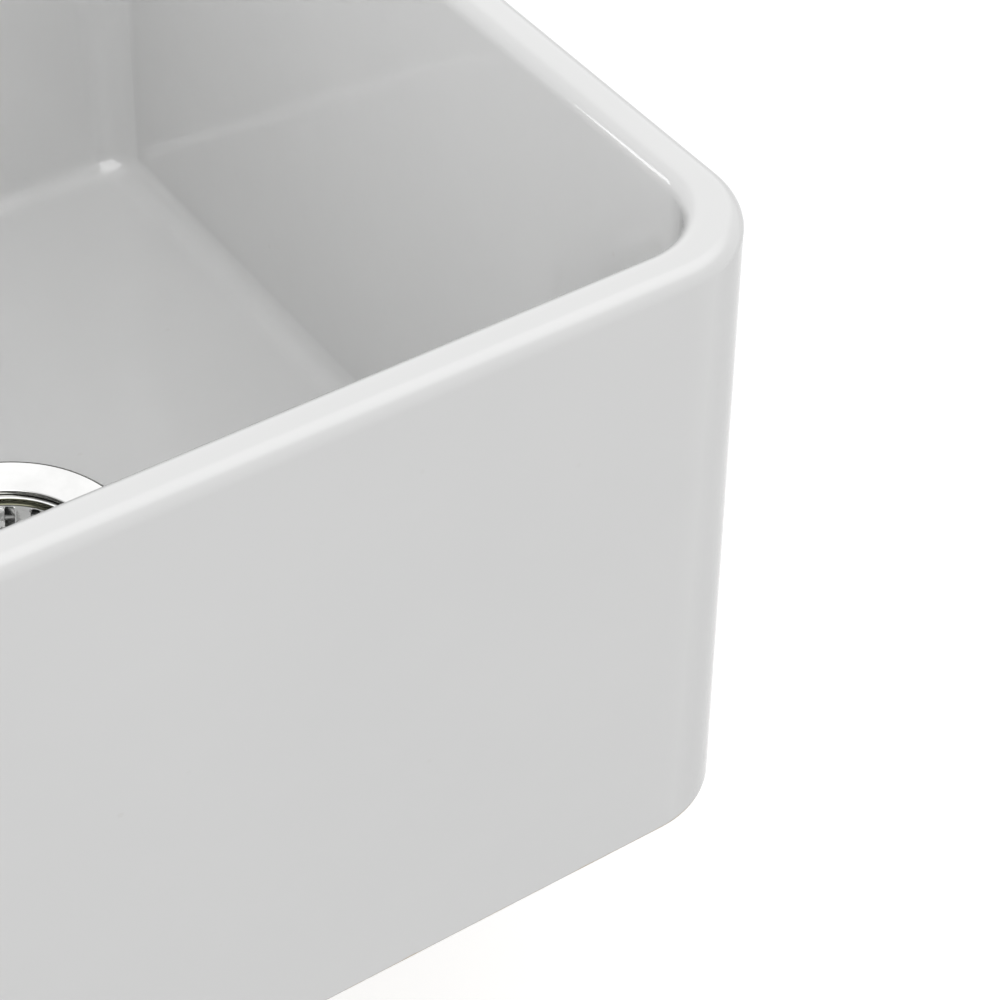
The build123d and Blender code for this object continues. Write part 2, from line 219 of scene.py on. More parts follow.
def thread_loops(crest, depth, pitch, low, high, steps=160):
    """Loops up a screw thread that runs out softly at both ends."""
    loops = []
    for height in stops(low, high, round((high - low) / pitch * 8)):
        fade = min(1.0, (height - low) / pitch, (high - height) / pitch)
        loop = []
        for step in range(steps):
            turn = tau * step / steps
            groove = 0.5 - 0.5 * cos(tau * height / pitch - turn)
            radius = crest - depth * fade * groove
            loop.append((radius * cos(turn), radius * sin(turn), height))
        loops.append(loop)
    return loops


def grid_mesh(name, loops, joined=True, round_about=True):
    """Mesh through loops of points. joined closes the last loop to the first, and round_about
    closes each loop. A loop of one point is a pole."""
    points = []
    starts = []
    for loop in loops:
        starts.append(len(points))
        points += [Vector(point) * MM for point in loop]
    faces = []
    for index in range(len(loops) if joined else len(loops) - 1):
        other = (index + 1) % len(loops)
        count = max(len(loops[index]), len(loops[other]))
        for step in range(count if round_about else count - 1):
            near = (step + 1) % count
            corners = []
            for loop, turns in ((index, (step, near)), (other, (near, step))):
                if len(loops[loop]) == 1:
                    corners.append(starts[loop])
                else:
                    corners += [starts[loop] + turn for turn in turns]
            faces.append(corners)
    mesh = bpy.data.meshes.new(name)
    mesh.from_pydata(points, [], faces)
    return mesh


def outward(mesh, seam=0.004):
    """Merges doubled points, turns the faces outwards and shades them smooth."""
    work = bmesh.new()
    work.from_mesh(mesh)
    bmesh.ops.remove_doubles(work, verts=work.verts, dist=seam * MM)
    bmesh.ops.recalc_face_normals(work, faces=work.faces)
    for face in work.faces:
        face.smooth = True
    work.to_mesh(mesh)
    work.free()


def new_object(name, data):
    made = bpy.data.objects.new(name, data)
    bpy.context.scene.collection.objects.link(made)
    return made


def new_piece(name, mesh, finish):
    outward(mesh)
    piece = new_object(name, mesh)
    piece.data.materials.clear()
    piece.data.materials.append(finish)
    return piece


def turned_piece(name, loops, finish):
    """Piece turned about the drain's axis, from its loops in order. The last loop joins the first,
    but not where the loops run from pole to pole."""
    joined = len(loops[0]) > 1
    return level_shaded(new_piece(name, grid_mesh(name, loops, joined), finish))


def level_shaded(piece):
    """Keeps the flat faces of a piece evenly shaded beside its small rounds."""
    shading = piece.modifiers.new("even shading", "WEIGHTED_NORMAL")
    shading.keep_sharp = True
    return piece


def eased(piece, width, steps=2, angle=35):
    """Rounds the piece's sharp edges."""
    ease = piece.modifiers.new("eased edges", "BEVEL")
    ease.width = width * MM
    ease.segments = steps
    ease.limit_method = "ANGLE"
    ease.angle_limit = radians(angle)
    return level_shaded(piece)


def fit(piece, node, body, slot):
    """The piece stands for a CAD node and rides on its body. slot is not used."""
    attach(piece, body)
    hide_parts(node)


# ---- node trees

def add_node(tree, kind, given=None, **settings):
    """Adds a node. given names its inputs, each with a value or with the socket that feeds it."""
    made = tree.nodes.new(kind)
    for name, value in settings.items():
        setattr(made, name, value)
    for name, value in (given or {}).items():
        if isinstance(value, bpy.types.NodeSocket):
            tree.links.new(value, made.inputs[name])
        else:
            made.inputs[name].default_value = value
    return made


def maths(tree, operation, first, second=0.0, third=0.0):
    return add_node(tree, "ShaderNodeMath", {0: first, 1: second, 2: third}, operation=operation).outputs[0]


def spread(tree, value, low, high, start=0.3, end=0.7):
    """Value that runs from low to high while the given one runs from start to end."""
    return add_node(tree, "ShaderNodeMapRange", {
        "Value": value, "From Min": start, "From Max": end, "To Min": low, "To Max": high,
    }).outputs[0]


def blend_colour(tree, share, first, second):
    """Colour between first and second, by share."""
    return add_node(tree, "ShaderNodeMix", {0: share, 6: first, 7: second}, data_type="RGBA").outputs[2]


def blend_value(tree, share, first, second):
    return add_node(tree, "ShaderNodeMix", {0: share, 2: first, 3: second}, data_type="FLOAT").outputs[0]


def distance_to_axis(tree, axes):
    """Distance to the drain's axis, from a place's separate coordinates."""
    across = maths(tree, "MULTIPLY", axes.outputs[0], axes.outputs[0])
    return maths(tree, "SQRT", maths(tree, "MULTIPLY_ADD", axes.outputs[1], axes.outputs[1], across))


def make_copies_tree():
    """Geometry nodes that set copies of one sector about the drain's axis and join them."""
    tree = bpy.data.node_groups.new("copies about the drain", "GeometryNodeTree")
    for label, kind in (
        ("Sector", "Geometry"), ("Count", "Int"), ("First Turn", "Float"), ("Seam", "Float"),
        ("Finish", "Material"),
    ):
        tree.interface.new_socket(label, in_out="INPUT", socket_type="NodeSocket" + kind)
    tree.interface.new_socket("Ring", in_out="OUTPUT", socket_type="NodeSocketGeometry")
    given = tree.nodes.new("NodeGroupInput").outputs
    points = add_node(tree, "GeometryNodePoints", {"Count": given["Count"]})
    index = tree.nodes.new("GeometryNodeInputIndex").outputs[0]
    step = maths(tree, "DIVIDE", tau, given["Count"])
    turn = maths(tree, "MULTIPLY_ADD", index, step, given["First Turn"])
    euler = add_node(tree, "ShaderNodeCombineXYZ", {"Z": turn})
    rotation = add_node(tree, "FunctionNodeEulerToRotation", {0: euler.outputs[0]})
    copies = add_node(tree, "GeometryNodeInstanceOnPoints", {
        "Points": points.outputs[0], "Instance": given["Sector"], "Rotation": rotation.outputs[0],
    })
    ring = add_node(tree, "GeometryNodeRealizeInstances", {0: copies.outputs[0]})
    joined = add_node(tree, "GeometryNodeMergeByDistance", {
        "Geometry": ring.outputs[0], "Distance": given["Seam"],
    })
    finished = add_node(tree, "GeometryNodeSetMaterial", {
        "Geometry": joined.outputs[0], "Material": given["Finish"],
    })
    tree.links.new(finished.outputs[0], tree.nodes.new("NodeGroupOutput").inputs["Ring"])
    return tree


copies_tree = make_copies_tree()


def copied_about(name, sector, count, finish, first_turn=0.0):
    """Piece made of copies of one sector's mesh, set evenly about the drain's axis."""
    holder = new_object(name, sector)
    copies = holder.modifiers.new("copies", "NODES")
    copies.node_group = copies_tree
    values = {"Count": count, "First Turn": first_turn, "Seam": 0.01 * MM, "Finish": finish}
    for socket in copies_tree.interface.items_tree:
        if socket.name in values:
            copies[socket.identifier] = values[socket.name]
    graph = bpy.context.evaluated_depsgraph_get()
    mesh = bpy.data.meshes.new_from_object(holder.evaluated_get(graph))
    bpy.data.objects.remove(holder)
    return new_piece(name, mesh, finish)


# ---- effects

def effect(name, *inputs):
    """Empty shader node group, and its inputs' sockets by name: the place on the piece and others."""
    tree = bpy.data.node_groups.new(name, "ShaderNodeTree")
    tree.interface.new_socket("Place", in_out="INPUT", socket_type="NodeSocketVector")
    for label in inputs:
        tree.interface.new_socket(label, in_out="INPUT", socket_type="NodeSocketFloat")
    return tree, tree.nodes.new("NodeGroupInput").outputs


def send(tree, **values):
    """Gives the group its results. Returns the group."""
    for label in values:
        tree.interface.new_socket(label, in_out="OUTPUT", socket_type="NodeSocketFloat")
    result = tree.nodes.new("NodeGroupOutput")
    for label, socket in values.items():
        tree.links.new(socket, result.inputs[label])
    return tree


def make_drift():
    """Slow, cloudy change over a surface, between two values."""
    tree, given = effect("cloudy drift", "Scale", "Detail", "Low", "High")
    cloud = add_node(tree, "ShaderNodeTexNoise", {
        "Vector": given["Place"], "Scale": given["Scale"], "Detail": given["Detail"], "Roughness": 0.55,
    })
    return send(tree, Value=spread(tree, cloud.outputs[0], given["Low"], given["High"]))


def make_turning_lines():
    """Fine rings that a lathe or a polishing mop leaves about the drain's axis."""
    tree, given = effect("turning lines", "Lines", "Low", "High")
    axes = add_node(tree, "ShaderNodeSeparateXYZ", {0: given["Place"]})
    along = maths(tree, "MULTIPLY_ADD", axes.outputs[2], 0.83, distance_to_axis(tree, axes))
    lines = add_node(tree, "ShaderNodeTexNoise", {
        "W": along, "Scale": given["Lines"], "Detail": 5.0, "Roughness": 0.65,
    }, noise_dimensions="1D").outputs[0]
    return send(tree, Value=spread(tree, lines, given["Low"], given["High"]), Height=lines)


def make_drawn_lines():
    """Straight streaks along the drain's axis, as on drawn tube and wire."""
    tree, given = effect("drawn lines", "Across", "Along", "Low", "High")
    stretch = add_node(tree, "ShaderNodeCombineXYZ", {
        0: given["Across"], 1: given["Across"], 2: given["Along"],
    })
    place = add_node(tree, "ShaderNodeVectorMath", {
        0: given["Place"], 1: stretch.outputs[0],
    }, operation="MULTIPLY")
    lines = add_node(tree, "ShaderNodeTexNoise", {
        "Vector": place.outputs[0], "Scale": 1.0, "Detail": 4.0, "Roughness": 0.6,
    }).outputs[0]
    return send(tree, Value=spread(tree, lines, given["Low"], given["High"]), Height=lines)


def make_grit():
    """Small grains or pits: their height, and a mask of the few that stand out."""
    tree, given = effect("grit", "Scale", "Share")
    cells = add_node(tree, "ShaderNodeTexVoronoi", {"Vector": given["Place"], "Scale": given["Scale"]})
    fine = add_node(tree, "ShaderNodeTexNoise", {
        "Vector": given["Place"], "Scale": given["Scale"], "Detail": 3.0,
    })
    height = maths(tree, "MULTIPLY_ADD", cells.outputs["Distance"], 0.6, fine.outputs[0])
    pick = add_node(tree, "ShaderNodeSeparateColor", {0: cells.outputs["Color"]})
    chosen = maths(tree, "LESS_THAN", pick.outputs[0], given["Share"])
    near = spread(tree, cells.outputs["Distance"], 1.0, 0.0, 0.12, 0.3)
    return send(tree, Height=height, Mask=maths(tree, "MULTIPLY", chosen, near))


drift_group = make_drift()
turning_group = make_turning_lines()
drawn_group = make_drawn_lines()
grit_group = make_grit()


# ---- finishes

class Finish:
    """Material under construction: its tree, its shader and the place on the piece."""

    def __init__(self, name, **constants):
        self.material = bpy.data.materials.new(name)
        self.material.use_nodes = True
        self.tree = self.material.node_tree
        self.shader = self.tree.nodes["Principled BSDF"]
        for label, value in constants.items():
            self.shader.inputs[label.replace("_", " ")].default_value = value
        self.place = self.tree.nodes.new("ShaderNodeTexCoord").outputs["Object"]

    def use(self, group, **values):
        """Places an effect, with its own values, and gives its results by name."""
        made = self.tree.nodes.new("ShaderNodeGroup")
        made.node_tree = group
        self.tree.links.new(self.place, made.inputs["Place"])
        for label, value in values.items():
            made.inputs[label].default_value = value
        return made.outputs

    def drift(self, scale, detail, low=0.0, high=1.0):
        return self.use(drift_group, Scale=scale, Detail=detail, Low=low, High=high)["Value"]

    def turned(self, lines, low=0.0, high=1.0):
        return self.use(turning_group, Lines=lines, Low=low, High=high)

    def grit(self, scale, share):
        return self.use(grit_group, Scale=scale, Share=share)

    def blend(self, share, first, second):
        return blend_colour(self.tree, share, first, second)

    def tinted_by_mask(self, base, mask, share, colour):
        """base with a share of another colour where the mask is set, for flecks and for rings of painted
        shade.
        """
        return self.blend(maths(self.tree, "MULTIPLY", mask, share), base, colour)

    def feed(self, **sockets):
        """Feeds the shader's inputs, an underscore standing for the space in a name."""
        for label, socket in sockets.items():
            self.tree.links.new(socket, self.shader.inputs[label.replace("_", " ")])
        return self.material

    def bump(self, height, distance, below=None):
        """Bump of a height, over the bump below it."""
        given = {"Height": height, "Distance": distance * MM, "Strength": 1.0}
        if below:
            given["Normal"] = below
        return add_node(self.tree, "ShaderNodeBump", given).outputs[0]


def make_glazed_fireclay():
    """White gloss glaze that ends at the foot, with bare fired clay underneath."""
    glaze = Finish("glazed_fireclay", IOR=1.5)
    tree = glaze.tree
    axes = add_node(tree, "ShaderNodeSeparateXYZ", {0: glaze.place})
    height = maths(tree, "ADD", axes.outputs[2], glaze.drift(60.0, 3.0, -0.6 * MM, 0.6 * MM))
    under = spread(tree, height, 1.0, 0.0, GLAZE_ENDS - 0.2 * MM, GLAZE_ENDS + 0.3 * MM)
    in_hole = maths(tree, "LESS_THAN", distance_to_axis(tree, axes), (RECESS_RADIUS + 0.5) * MM)
    below_floor = maths(tree, "LESS_THAN", height, HOLE_GLAZE_ENDS)
    bare = maths(tree, "MAXIMUM", under, maths(tree, "MULTIPLY", in_hole, below_floor))

    white = glaze.blend(glaze.drift(11.0, 3.0), (0.764, 0.765, 0.762, 1), (0.748, 0.750, 0.748, 1))
    specks = glaze.grit(210.0, 0.004)["Mask"]
    white = glaze.tinted_by_mask(white, specks, 0.12, (0.55, 0.52, 0.47, 1))
    # painted shade: the glaze's colour is drawn towards dark grey where the surface is seen at a grazing
    # angle, so that faces turned away from the view render darker
    facing = add_node(tree, "ShaderNodeLayerWeight", {"Blend": 0.5}).outputs["Facing"]
    white = glaze.blend(spread(tree, facing, 0.0, 0.7, 0.53, 1.0), white, (0.28, 0.28, 0.28, 1))
    clay = glaze.blend(glaze.drift(38.0, 6.0), (0.73, 0.66, 0.55, 1), (0.62, 0.55, 0.45, 1))
    grog = glaze.grit(700.0, 0.16)
    clay = glaze.tinted_by_mask(clay, grog["Mask"], 0.6, (0.38, 0.31, 0.25, 1))

    wet = glaze.bump(glaze.drift(190.0, 2.0), 0.012, below=glaze.bump(glaze.drift(13.0, 1.5), 0.35))
    rough = glaze.bump(grog["Height"], 0.25)
    normal = add_node(tree, "ShaderNodeMix", {0: bare, 4: wet, 5: rough}, data_type="VECTOR").outputs[1]
    return glaze.feed(
        Base_Color=glaze.blend(bare, white, clay),
        Roughness=blend_value(tree, bare, glaze.drift(26.0, 4.0, 0.02, 0.05), 0.88),
        Normal=normal,
    )


def make_polished_steel(name, light, dark, *shade_rings):
    """Stainless steel, mopped to a bright finish. The rings after the two colours are painted shade,
    rings of darker colour standing for shade, each with its middle radius and half width, its middle height
    and half height, and its colour."""
    steel = Finish(name, Metallic=1.0)
    tree = steel.tree
    base = steel.blend(steel.drift(70.0, 3.0), light, dark)
    axes = add_node(tree, "ShaderNodeSeparateXYZ", {0: steel.place})
    across = distance_to_axis(tree, axes)
    # painted shade: each ring darkens the steel's colour where shade falls on it
    for radius, half_width, height, half_height, colour in shade_rings:
        ring = maths(tree, "COMPARE", across, radius * MM, half_width * MM)
        level = maths(tree, "COMPARE", axes.outputs[2], height * MM, half_height * MM)
        base = steel.tinted_by_mask(base, ring, level, colour)
    lines = steel.turned(1500.0, -0.01, 0.02)
    return steel.feed(
        Base_Color=base,
        Roughness=maths(tree, "ADD", steel.drift(120.0, 5.0, 0.03, 0.06), lines["Value"]),
        Normal=steel.bump(lines["Height"], 0.003),
    )


def make_brushed_steel(name, lines_group, values):
    """Stainless steel with its turning or drawing lines left on."""
    steel = Finish(name, Metallic=1.0)
    lines = steel.use(lines_group, Low=0.0, High=1.0, **values)
    smear = steel.drift(60.0, 4.0, 0.2, 0.34)
    return steel.feed(
        Base_Color=steel.blend(lines["Value"], (0.68, 0.68, 0.67, 1), (0.56, 0.565, 0.565, 1)),
        Roughness=maths(steel.tree, "MULTIPLY_ADD", lines["Value"], 0.1, smear),
        Normal=steel.bump(lines["Height"], 0.02),
    )


def make_spring_steel():
    steel = Finish("spring_steel_wire", Metallic=1.0)
    lines = steel.turned(4000.0, 0.24, 0.38)
    return steel.feed(
        Base_Color=steel.blend(steel.drift(500.0, 3.0), (0.45, 0.45, 0.46, 1), (0.36, 0.34, 0.31, 1)),
        Roughness=lines["Value"],
        Normal=steel.bump(lines["Height"], 0.01),
    )


def make_foam():
    """Closed-cell foam, pressed flat under the flange."""
    foam = Finish("foam_gasket")
    cells = foam.grit(2200.0, 0.3)
    return foam.feed(
        Base_Color=foam.blend(cells["Mask"], (0.055, 0.055, 0.06, 1), (0.02, 0.02, 0.022, 1)),
        Roughness=foam.drift(90.0, 3.0, 0.78, 0.92),
        Normal=foam.bump(cells["Height"], 0.12),
    )


def make_black_rubber():
    """Moulded black rubber with a faint grey bloom."""
    rubber = Finish("moulded_black_rubber", Specular_IOR_Level=0.45)
    base = rubber.blend(rubber.drift(55.0, 5.0), (0.022, 0.022, 0.023, 1), (0.046, 0.046, 0.047, 1))
    dust = rubber.grit(1600.0, 0.05)
    mould_rings = rubber.bump(rubber.turned(900.0)["Height"], 0.02)
    return rubber.feed(
        Base_Color=rubber.tinted_by_mask(base, dust["Mask"], 0.35, (0.16, 0.155, 0.15, 1)),
        Roughness=rubber.drift(140.0, 4.0, 0.5, 0.68),
        Normal=rubber.bump(dust["Height"], 0.02, below=mould_rings),
    )


def make_fibre():
    """Pressed brown fibre board."""
    fibre = Finish("fibre_board")
    strands = fibre.use(drawn_group, Across=900.0, Along=120.0, Low=0.0, High=1.0)
    base = fibre.blend(strands["Value"], (0.44, 0.31, 0.19, 1), (0.30, 0.20, 0.12, 1))
    return fibre.feed(
        Base_Color=fibre.tinted_by_mask(base, fibre.grit(900.0, 0.12)["Mask"], 0.5, (0.58, 0.45, 0.31, 1)),
        Roughness=fibre.drift(200.0, 3.0, 0.82, 0.95),
        Normal=fibre.bump(strands["Height"], 0.05),
    )


def make_cast_zinc():
    """Die-cast zinc with the dull, slightly pitted skin of the mould."""
    zinc = Finish("die_cast_zinc", Metallic=1.0)
    base = zinc.blend(zinc.drift(45.0, 6.0), (0.56, 0.57, 0.58, 1), (0.43, 0.44, 0.455, 1))
    pits = zinc.grit(850.0, 0.1)
    return zinc.feed(
        Base_Color=zinc.tinted_by_mask(base, pits["Mask"], 0.5, (0.27, 0.27, 0.28, 1)),
        Roughness=zinc.drift(150.0, 4.0, 0.42, 0.6),
        Normal=zinc.bump(pits["Height"], 0.04),
    )


def make_white_plastic():
    plastic = Finish("white_moulded_plastic")
    return plastic.feed(
        Base_Color=plastic.blend(plastic.drift(80.0, 2.0), (0.80, 0.80, 0.78, 1), (0.75, 0.75, 0.73, 1)),
        Roughness=plastic.drift(200.0, 3.0, 0.34, 0.46),
        Normal=plastic.bump(plastic.turned(500.0)["Height"], 0.01),
    )


def make_brass():
    """Bare turned brass, a little tarnished."""
    brass = Finish("turned_brass", Metallic=1.0)
    tarnish = brass.drift(48.0, 6.0, 0.0, 0.8)
    lines = brass.turned(1100.0, 0.0, 0.1)
    return brass.feed(
        Base_Color=brass.blend(tarnish, (0.80, 0.60, 0.28, 1), (0.56, 0.38, 0.17, 1)),
        Roughness=maths(brass.tree, "ADD", brass.drift(110.0, 4.0, 0.2, 0.36), lines["Value"]),
        Normal=brass.bump(lines["Height"], 0.015),
    )


# ---- bowl

def bowl_rays():
    """Directions from the drain's axis that the bowl's loops go through, close at the corners."""
    first = []
    for start, end, steps in ((0, 44, 18), (44, 48.5, 12), (48.5, 54, 44), (54, 61, 18), (61, 90, 14)):
        first += stops(start, end, steps)[:-1]
    first.append(90)
    second = [180 - turn for turn in reversed(first[1:-1])]
    half = first + second
    return [radians(turn) for turn in half + [turn + 180 for turn in half]]


def bowl_loop(half_width, half_depth, corner, height):
    """Loop of the bowl: a level rounded rectangle, met by the bowl's rays. height is a number,
    or gives one from a point's distance to the drain's axis."""
    loop = []
    for turn in bowl_rays():
        across = abs(cos(turn))
        along = abs(sin(turn))
        centre_x = half_width - corner
        centre_y = half_depth - corner
        reach = half_width / across if across > 1e-9 else 1e9
        if reach * along > centre_y:
            reach = half_depth / along if along > 1e-9 else 1e9
            if reach * across > centre_x:
                middle = across * centre_x + along * centre_y
                rest = centre_x**2 + centre_y**2 - corner**2
                reach = middle + sqrt(middle**2 - rest)
        level = height(reach) if callable(height) else height
        loop.append((reach * cos(turn), reach * sin(turn), level))
    return loop


def loop_to_circle(half_width, half_depth, corner, radius, share, height):
    """Loop part of the way from a rounded rectangle to a circle about the drain."""
    return bowl_loop(*[between(size, radius, share) for size in (half_width, half_depth, corner)], height)


def outer_loop(inset, height):
    return bowl_loop(BOWL_HALF_WIDTH - inset, BOWL_HALF_DEPTH - inset, OUTER_CORNER - inset, height)


def inner_loop(inset, height, corner):
    """Loop inset from the inner edge of the rim."""
    inset = inset + RIM_WALL
    return bowl_loop(BOWL_HALF_WIDTH - inset, BOWL_HALF_DEPTH - inset, corner, height)


# Section of the bowl's inside: the walls stand on a tight round, which the floor curls up to
DRAFT_RATE = tan(WALL_DRAFT)
FLOOR_EDGE = FLOOR_AT_DRAIN + FLOOR_FALL
HEEL_HEIGHT = FLOOR_EDGE + FLOOR_CURL_RADIUS * (1 - cos(FLOOR_CURL))
ROUND_CENTRE = HEEL_HEIGHT + WALL_FOOT_ROUND * cos(FLOOR_CURL)
WALL_FOOT = ROUND_CENTRE - WALL_FOOT_ROUND * sin(WALL_DRAFT)
WALL_FOOT_INSET = (BOWL_HEIGHT - WALL_FOOT) * DRAFT_RATE
CENTRE_INSET = WALL_FOOT_INSET + WALL_FOOT_ROUND * cos(WALL_DRAFT)
HEEL_INSET = CENTRE_INSET - WALL_FOOT_ROUND * sin(FLOOR_CURL)
HEEL_CORNER = WALL_FOOT_CORNER - HEEL_INSET + WALL_FOOT_INSET
CURL_REACH = FLOOR_CURL_RADIUS * sin(FLOOR_CURL)
CURL_INSET = HEEL_INSET + CURL_REACH


def wall_inset(height):
    return (BOWL_HEIGHT - height) * DRAFT_RATE


def wall_corner(height):
    """Corner radius in plan of the drafted walls."""
    mouth = INNER_CORNER + INNER_RIM_ROUND * DRAFT_RATE
    share = (height - WALL_FOOT) / (BOWL_HEIGHT + INNER_RIM_ROUND - WALL_FOOT)
    return between(WALL_FOOT_CORNER, mouth, share)


def dish_height(distance):
    """Height of the floor, which falls gently from its curled edge to the land."""
    foot = BOWL_HALF_WIDTH - RIM_WALL - CURL_INSET
    share = min(1.0, max(0.0, (distance - LAND_RADIUS) / (foot - LAND_RADIUS)))
    return FLOOR_AT_DRAIN + FLOOR_FALL * share * share * (3 - 2 * share)


def make_bowl_loops():
    # underside and foot
    hole_edge = RECESS_RADIUS + GLAZE_EDGE
    foot = (BOWL_HALF_WIDTH - FOOT_ROUND, BOWL_HALF_DEPTH - FOOT_ROUND, OUTER_CORNER - FOOT_ROUND)
    loops = [loop_to_circle(*foot, hole_edge, share, 0) for share in (1, 0.65, 0.3)]
    for angle in stops(0, pi / 2, 4):
        loops.append(outer_loop(FOOT_ROUND * (1 - sin(angle)), FOOT_ROUND * (1 - cos(angle))))
    # outside walls
    rim_start = BOWL_HEIGHT - OUTER_RIM_ROUND
    loops += [outer_loop(0, height) for height in (3, 30, 70, 110, 150, 190, 225, rim_start - 2)]
    # outer rim round
    for angle in stops(0, pi / 2, 10):
        inset = OUTER_RIM_ROUND * (1 - cos(angle))
        loops.append(outer_loop(inset, rim_start + OUTER_RIM_ROUND * sin(angle)))
    # inner rim round, from the level top to the drafted wall
    sweep = pi / 2 - WALL_DRAFT
    reach = INNER_RIM_ROUND * tan(sweep / 2)
    loops.append(inner_loop(-reach - 0.6, BOWL_HEIGHT, wall_corner(BOWL_HEIGHT) + reach + 0.6))
    for angle in stops(0, sweep, 12):
        inset = -reach + INNER_RIM_ROUND * sin(angle)
        height = BOWL_HEIGHT - INNER_RIM_ROUND * (1 - cos(angle))
        loops.append(inner_loop(inset, height, wall_corner(height) - inset + wall_inset(height)))
    # inside walls
    wall_top = BOWL_HEIGHT - INNER_RIM_ROUND - 1
    for height in stops(wall_top, WALL_FOOT + 1.0, 13):
        loops.append(inner_loop(wall_inset(height), height, wall_corner(height)))
    # tight round at the walls' foot
    for angle in stops(WALL_DRAFT, pi / 2 - FLOOR_CURL, 14):
        inset = CENTRE_INSET - WALL_FOOT_ROUND * cos(angle)
        height = ROUND_CENTRE - WALL_FOOT_ROUND * sin(angle)
        loops.append(inner_loop(inset, height, WALL_FOOT_CORNER - inset + WALL_FOOT_INSET))
    # curled edge of the floor
    for angle in stops(FLOOR_CURL, 0, 12)[1:]:
        share = 1 - sin(angle) / sin(FLOOR_CURL)
        height = FLOOR_EDGE + FLOOR_CURL_RADIUS * (1 - cos(angle))
        corner = between(HEEL_CORNER, CURL_CORNER, share)
        loops.append(inner_loop(HEEL_INSET + CURL_REACH * share, height, corner))
    # floor, from a rounded rectangle to the circle of the drain's land
    edge = (BOWL_HALF_WIDTH - RIM_WALL - CURL_INSET, BOWL_HALF_DEPTH - RIM_WALL - CURL_INSET, CURL_CORNER)
    loops += [loop_to_circle(*edge, LAND_RADIUS, share, dish_height) for share in stops(0, 1, 16)[1:]]
    # drain hole and the recess under it
    hole = softened([
        (RECESS_RADIUS, RECESS_HEIGHT - 3, 0),
        (LAND_RADIUS - 3, FLOOR_AT_DRAIN, 0),
        (DRAIN_HOLE, FLOOR_AT_DRAIN, 1.2),
        (DRAIN_HOLE, RECESS_HEIGHT, GLAZE_EDGE),
        (RECESS_RADIUS, RECESS_HEIGHT, 1.5),
        (RECESS_RADIUS, 0, GLAZE_EDGE),
        (RECESS_RADIUS + 20, 0, 0),
    ])
    return loops + [bowl_loop(radius, radius, radius, height) for radius, height in hole[1:-2]]


# ---- strainer and under the floor

def make_strainer_loops():
    """Flange, cup, stopper seat and outlet, with screw threads on the cup and on the outlet."""
    mouth = softened([
        (FLANGE_RADIUS - FLANGE_LIP, FLANGE_UNDER, 0.2),
        (FLANGE_RADIUS - FLANGE_LIP, FLOOR_AT_DRAIN, 0.3),
        (FLANGE_RADIUS, FLOOR_AT_DRAIN, 0.3),
        (FLANGE_RADIUS, FLANGE_TOP, 0.7),
        (MOUTH_RADIUS, MOUTH_TOP, 1.0),
        (MOUTH_RADIUS, LEDGE_HEIGHT, 0.3),
        (CUP_BORE, LEDGE_HEIGHT, 0.35),
        (CUP_BORE, SLOPE_TOP, 1.5),
        (SEAT_OUTER, SEAT_HEIGHT, 1.2),
        (SEAT_INNER, SEAT_HEIGHT, 1.2),
        (OUTLET_BORE, NECK_HEIGHT, 1.5),
        (OUTLET_BORE, OUTLET_END, 0.4),
        (OUTLET_THREAD, OUTLET_END, 0.4),
        (OUTLET_THREAD, OUTLET_END + 2, 0),
    ], 6)
    under = softened([
        (OUTLET_THREAD, OUTLET_END, 0),
        (OUTLET_THREAD, NECK_HEIGHT - CUP_FLOOR, 0),
        (SEAT_INNER, SEAT_HEIGHT - CUP_FLOOR, 1.0),
        (SEAT_OUTER, SEAT_HEIGHT - CUP_FLOOR, 1.5),
        (CUP_THREAD, SLOPE_TOP - CUP_FLOOR, 0.3),
        (CUP_THREAD, SLOPE_TOP, 0),
    ])[1:-1]
    neck = softened([
        (CUP_THREAD, FLANGE_UNDER - 6, 0),
        (CUP_THREAD, FLANGE_UNDER, 0.3),
        (FLANGE_RADIUS - FLANGE_LIP, FLANGE_UNDER, 0),
    ])[1:-1]
    outlet = thread_loops(OUTLET_THREAD, 0.5, 1.8, OUTLET_END + 0.6, NECK_HEIGHT - CUP_FLOOR - 0.4)
    cup = thread_loops(CUP_THREAD, 0.6, 2.4, SLOPE_TOP - CUP_FLOOR + 0.5, FLANGE_UNDER - 4.8)
    return circles(mouth[:-1]) + outlet + circles(under) + cup + circles(neck)


def make_crossbar_sector():
    """Half of one of the outlet's crossbars, from the drain's axis into the wall."""
    half = CROSSBAR_WIDTH / 2
    low = CROSSBAR_TOP - CROSSBAR_DEPTH
    section = softened([
        (-half, low, 0.5), (half, low, 0.5), (half, CROSSBAR_TOP, 1.0), (-half, CROSSBAR_TOP, 1.0),
    ])
    reach = OUTLET_BORE + 1.2
    loops = [[(x, across, height) for across, height in section] for x in (-reach, reach)]
    middles = [[(x, 0, (low + CROSSBAR_TOP) / 2)] for x in (-reach, reach)]
    return grid_mesh("crossbar", [middles[0]] + loops + [middles[1]], joined=False)


def sector_mesh(name, turns, sections):
    """Sector of a nut, from its sections at turns about the drain's axis."""
    loops = []
    for ring in zip(*sections):
        loops.append([
            (reach * cos(turn), reach * sin(turn), height)
            for turn, (reach, height) in zip(turns, ring)
        ])
    return grid_mesh(name, loops, joined=True, round_about=False)


def nut_sector(name, outline, steps=14):
    """Sixth of a hexagonal nut, about the middle of one flat. outline gives the section at a turn
    from the distance there of the flat to the axis, relative to the middle of the flat."""
    turns = stops(radians(-30), radians(30), steps)
    return sector_mesh(name, turns, [outline(1 / cos(turn)) for turn in turns])


